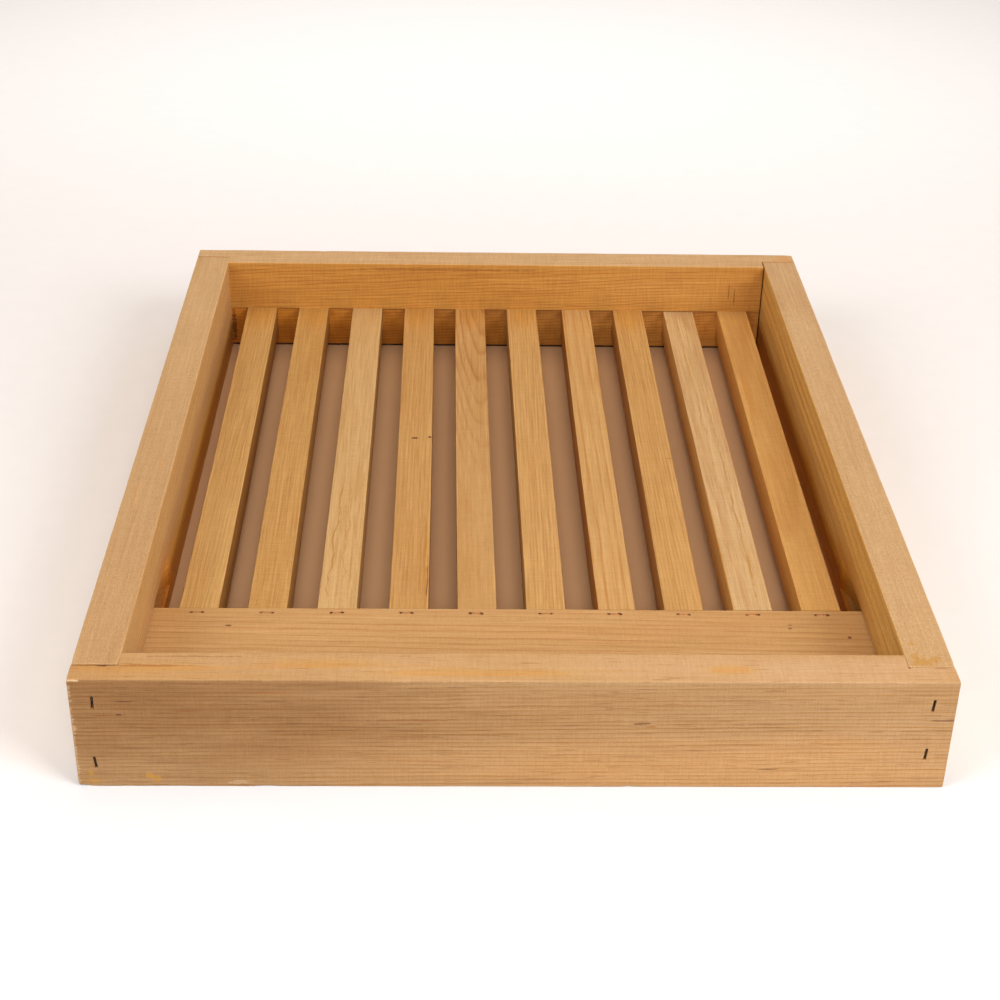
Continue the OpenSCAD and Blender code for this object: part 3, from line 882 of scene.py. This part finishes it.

# Each slat: how far it lies to the right at the front, in the middle and at the rear, and
# what its wood shows; the tone of its sides is partly painted light and shade
SLAT_LOOKS = {
    1: dict(lie=(0.65, 0.25, -0.65), seed=11.0, pith=(-250, 5), lean=(0.02, 0.0),
            tone=(1.02, 1.11, 0.99), Spacing=2.0, Contrast=0.5, Flank=(0.65, 0.45, 0.23)),
    2: dict(lie=(0.1, -0.75, -1.1), seed=12.0, pith=(-40, 60), lean=(-0.015, 0.0),
            tone=(0.9, 0.91, 0.72), Spacing=1.8, Contrast=0.45, Saw=0.3),
    3: dict(lie=(0.0, 0.0, -0.1), seed=13.0, pith=(-84, -88), lean=(0.02, 0.0),
            tone=(0.98, 1.11, 1.19), Spacing=4.2, Contrast=0.3),
    4: dict(lie=(1.15, 0.75, -0.25), seed=14.0, pith=(-122, 40), lean=(0.02, 0.01),
            tone=(0.91, 0.91, 0.75), Spacing=2.2, Contrast=0.45),
    5: dict(lie=(0.75, -0.5, -1.15), seed=15.0, pith=(-11, -3), lean=(0.012, 0.1),
            tone=(0.9, 0.92, 0.85), Spacing=3.0, Contrast=0.9, Warp=3.0,
            calm=(((-70, -17, SHELF_TOP), (230, 60, 60)),)),
    6: dict(lie=(0.5, -0.2, -1.55), seed=16.0, pith=(110, 36), lean=(0.01, 0.0),
            tone=(0.97, 1.01, 0.9), Spacing=1.9, Contrast=0.6),
    7: dict(lie=(1.1, 0.1, -0.2), seed=17.0, pith=(6, 2), lean=(-0.012, 0.0),
            tone=(0.99, 1.04, 0.99), Spacing=4.6, Contrast=0.85, Warp=3.0, Hair=0.12,
            Late=srgb(160, 103, 38), Flank=(0.66, 0.38, 0.1)),
    8: dict(lie=(0.45, 0.45, 0.25), seed=18.0, pith=(170, 20), lean=(-0.01, 0.0),
            tone=(0.96, 0.98, 0.82), Spacing=1.9, Contrast=0.6, Flank=(0.8, 0.56, 0.3)),
    9: dict(lie=(0.55, 0.15, -0.3), seed=19.0, pith=(146, -26), lean=(-0.03, 0.0),
            tone=(1.02, 1.2, 1.46), Spacing=5.0, Contrast=0.5, Flank=(1.14, 0.82, 0.4)),
    10: dict(lie=(0.15, 0.45, 1.2), seed=20.0, pith=(156, -60), lean=(0.0, 0.03),
             tone=(1.12, 1.13, 0.88), Spacing=5.5, Contrast=0.35, Hair=0.1, Blotches=0.15,
             Flank=(1.06, 0.84, 0.54)),
}
REAR_AMBER = (1, 2, 4, 5, 6, 8)      # slats whose rear ends have turned yellow
SLAT_FLANK_AND_SHADE = (0.78, 0.62, 0.4)       # the sides are darker than the planed tops: partly the sawn wood, partly painted shade
NARROW = {7: 0.8}                    # how much narrower than its blank a slat was planed
LOW_REAR = {9: 0.7}                  # how far a slat's rear end hangs below the others
LIE_SLACK = 3.0                      # a slat's cutter is this much wider than its blank
SLAT_SPOTS = {
    4: ((42.7, -53.0, SHELF_TOP, (1.0, 2.2, 2), BURNT, 0.95, 0.8),
        (44.1, -43.9, SHELF_TOP, (1.2, 1.2, 2), BURNT, 0.9, 0.8)),
    8: ((19.3, 100.2, SHELF_TOP, (0.5, 2.8, 2), DARK_MARK_AND_SHADE, 0.5, 0.8),),
    10: ((12, 161.5, SHELF_TOP, (22, 1.3, 2), AMBER, 0.5, 2.4),
         (105, 158.5, SHELF_TOP, (34, 2.6, 2), AMBER, 0.55, 3.0)),
}
SLAT_VEINS = {
    3: ((-72, -94.6, SHELF_TOP, (68, 0.6, 2), RESIN, 0.85, 9.0),
        (-65, -88.6, SHELF_TOP, (60, 0.45, 2), RESIN, 0.6, 10.0)),
    4: ((-98, -44.4, SHELF_TOP, (48, 1.0, 2), RESIN, 0.75, 2.5),
        (-112, -43.2, SHELF_TOP, (24, 0.4, 2), BURNT, 0.8, 2.0),
        (-110, -46.8, SHELF_TOP, (30, 0.6, 2), RESIN, 0.6, 3.5)),
    9: ((0, 131.0, SHELF_TOP, (120, 0.8, 2), RESIN, 0.5, 8.0),
        (60, 125.0, SHELF_TOP, (90, 0.6, 2), RESIN, 0.45, 7.0),
        (180, 124.0, SHELF_TOP, (60, 0.8, 2), RESIN, 0.5, 6.0),
        (-110, 130.8, SHELF_TOP, (40, 0.9, 2), RESIN, 0.5, 5.0)),
}
SLAT_CHIPS = {
    3: ((2, 60, 5, 0.5),),
    6: ((3, 150, 2.5, 0.9),),
    8: ((3, -40, 30, 0.4),),
    9: ((3, -90, 70, 1.3), (3, 215, 3, 1.8), (3, 196, 2, 0.9)),
}
for i, node in enumerate(SLATS, start=1):
    look = dict({"Flank": SLAT_FLANK_AND_SHADE}, **SLAT_LOOKS[i])
    at_front, at_middle, at_rear = look.pop("lie")
    lo, hi = box_mm(node)

    def lay(t, f=at_front, r=at_rear, bow=at_middle - (at_front + at_rear) / 2,
            drop=LOW_REAR.get(i, 0.0)):
        return (f + (r - f) * t + bow * math.sin(math.pi * t), -drop * max(0.0, t - 0.5) / 0.5)

    left = Vector((NARROW.get(i, 0.0), 0, 0))
    piece = as_object(node + "_wood", bar(lo + left, hi, ALONG_Y, ease=0.45, bend=lay, ends=0.3,
                                          chips=SLAT_CHIPS.get(i, ()), seed=look["seed"]))
    tongue = bmesh.new()
    add_block(tongue, (lo.x - LIE_SLACK, lo.y - SEAT_SLACK, SHELF_LOW + LAP),
              (hi.x + LIE_SLACK, DECK[1].y, SHELF_TOP + SEAT_SLACK))
    carve(piece, tongue,
          kerfs(([DECK_STAPLES[i - 1]], DECK_OPEN), ([SLAT_STAPLES[i - 1]], FRAME_OPEN)))
    stains = ()
    if i in REAR_AMBER:
        stains = ((hi.y - 6, (lo.x + hi.x) / 2, SHELF_TOP, (38, 16, 4), (1.0, 0.9, 0.66), 0.6),)
    finish_piece(piece, node, wood(
        node + "_grain", node, ALONG_Y, spots=SLAT_SPOTS.get(i, ()), veins=SLAT_VEINS.get(i, ()),
        stains=stains, **look))


# ---- Staple wire ----

def steel(name, tint, dull, metallic):
    """Dull staple wire with a brownish glue coat, scratched along its length."""
    material, tree, coords = new_material(name)
    place = scaled(tree, coords["Object"], 1 / MM)
    grime = put(tree, "TexNoise", Vector=place, Scale=0.9, Detail=3.0)
    scratch = cloud(tree, place, 2.5, 0.12, 2.0)
    colour = blend_colour(tree, "MIX", ease_in(tree, grime, 0.4, 0.65), tint, dull)
    rough = calc(tree, "MULTIPLY_ADD", grime, 0.4, 0.3)
    relief = put(tree, "Bump", Strength=0.3, Distance=0.05 * MM, Height=scratch)
    show(tree, principled(tree, colour, rough, relief, metallic=metallic))
    return material


DARK_WIRE = steel("dark_wire", srgb(64, 46, 30), srgb(16, 10, 6), 0.45)
TAN_WIRE = steel("tan_wire", srgb(196, 134, 84), srgb(140, 80, 42), 0.1)
for node, staples, look in (
        ("deck_staples", DECK_STAPLES, TAN_WIRE),
        ("front_corner_staples", FRONT_STAPLES, DARK_WIRE),
        ("back_corner_staples", BACK_STAPLES, DARK_WIRE),
        ("back_slat_staples", SLAT_STAPLES, DARK_WIRE)):
    mesh = bmesh.new()
    for s in staples:
        s.wire(mesh)
    finish_piece(as_object(node + "_wire", mesh), node, look)


# ---- Floor, light and camera ----

FLOOR_FADE = 1.5, 2.5         # the floor melts into the backdrop over this stretch, in metres
FLOOR_DROP = 0.15             # how far the floor lies below the rims, so that they don't merge
SHADE_EDGE = 6.0              # width of the soft edge of the painted shade on the floor inside the rack


def soft_floor():
    """A pale matt table top, with painted warm shade inside the rack."""
    mesh = bmesh.new()
    bmesh.ops.create_circle(mesh, cap_ends=True, segments=96, radius=FLOOR_FADE[1] / MM)
    for v in mesh.verts:
        v.co.z = -FLOOR_DROP
    floor = as_object("floor", mesh)
    material, tree, coords = new_material("pale_floor")
    mottle = put(tree, "TexNoise", Vector=coords["Object"], Scale=60.0, Detail=4.0)
    colour = blend_colour(tree, "MIX", mottle, srgb(221, 223, 226), srgb(217, 219, 222))
    # Painted shade: the floor is darker and warmer inside the rack, where the rack shades it
    place = scaled(tree, coords["Object"], 1 / MM)
    across, along, _ = put_apart(tree, vec(tree, "ABSOLUTE", place))
    beyond = calc(tree, "MAXIMUM", calc(tree, "SUBTRACT", across, INNER_X),
                  calc(tree, "SUBTRACT", along, INNER_BACK))
    colour = blend_colour(tree, "MULTIPLY", ease_in(tree, beyond, 0.0, SHADE_EDGE, 1.0, 0.0),
                          colour, (0.82, 0.55, 0.33, 1))
    relief = put(tree, "Bump", Strength=0.1, Distance=0.2 * MM, Height=mottle)
    shader = principled(tree, colour, 0.7, relief, specular=0.2)
    far = ease_in(tree, vec(tree, "LENGTH", coords["Object"], out=1), *FLOOR_FADE)
    show(tree, put(tree, "MixShader", _0=far, _1=shader, _2=put(tree, "BsdfTransparent")))
    floor.data.materials.append(material)


RACK_MIDDLE = (0.0, 0.0, 0.03)
DAYLIGHT, LAMPLIGHT = (0.97, 0.98, 1.0), (1.0, 0.67, 0.42)
# Square softboxes: place, what it is aimed at, width, power and colour
SOFTBOXES = {
    "right_light": ((1.25, -1.1, 1.2), RACK_MIDDLE, 1.0, 32.0, DAYLIGHT),
    "left_light": ((-1.4, -0.95, 1.3), RACK_MIDDLE, 1.1, 22.5, DAYLIGHT),
    "front_light": ((0.0, -1.5, 0.98), RACK_MIDDLE, 0.5, 10.5, (1.0, 0.94, 0.87)),
    "top_light": ((0.1, 0.5, 2.05), RACK_MIDDLE, 1.5, 19.5, LAMPLIGHT),
    "backdrop_light": ((0.0, 1.0, 0.9), (0.0, 1.9, 0.0), 1.2, 7.0, (1.0, 1.0, 1.0)),
}
HORIZON, OVERHEAD = (0.95, 0.97, 1.0, 1), (1.0, 0.92, 0.84, 1)


def soft_light(name, at, aim, size, power, colour):
    data = bpy.data.lights.new(name, "AREA")
    data.size, data.energy, data.color = size, power, colour
    lamp = bpy.data.objects.new(name, data)
    lamp.location = at
    lamp.rotation_euler = (Vector(aim) - Vector(at)).to_track_quat("-Z", "Y").to_euler()
    SCENE.collection.objects.link(lamp)


def soft_world():
    """A backdrop that is brightest and most neutral at the horizon."""
    world = bpy.data.worlds.new("studio")
    world.use_nodes = True
    tree = world.node_tree
    backdrop = tree.nodes["Background"]
    height = put_apart(tree, tree.nodes.new("ShaderNodeTexCoord").outputs["Generated"])[2]
    tree.links.new(ease_in(tree, height, 0.05, 0.6, 0.85, 0.24), backdrop.inputs["Strength"])
    tree.links.new(blend_colour(tree, "MIX", ease_in(tree, height, 0.05, 0.5), HORIZON, OVERHEAD),
                   backdrop.inputs["Color"])
    SCENE.world = world


soft_floor()
for name, settings in SOFTBOXES.items():
    soft_light(name, *settings)
soft_world()
SCENE.view_settings.view_transform = "Standard"

lens = bpy.data.cameras.new("camera")
lens.sensor_width, lens.lens = 36.0, 65.98
camera = bpy.data.objects.new("camera", lens)
camera.location = (-0.02979, -0.93665, 0.56185)
camera.rotation_euler = [math.radians(a) for a in (59.510, -1.043, -1.099)]
SCENE.collection.objects.link(camera)
SCENE.camera = camera
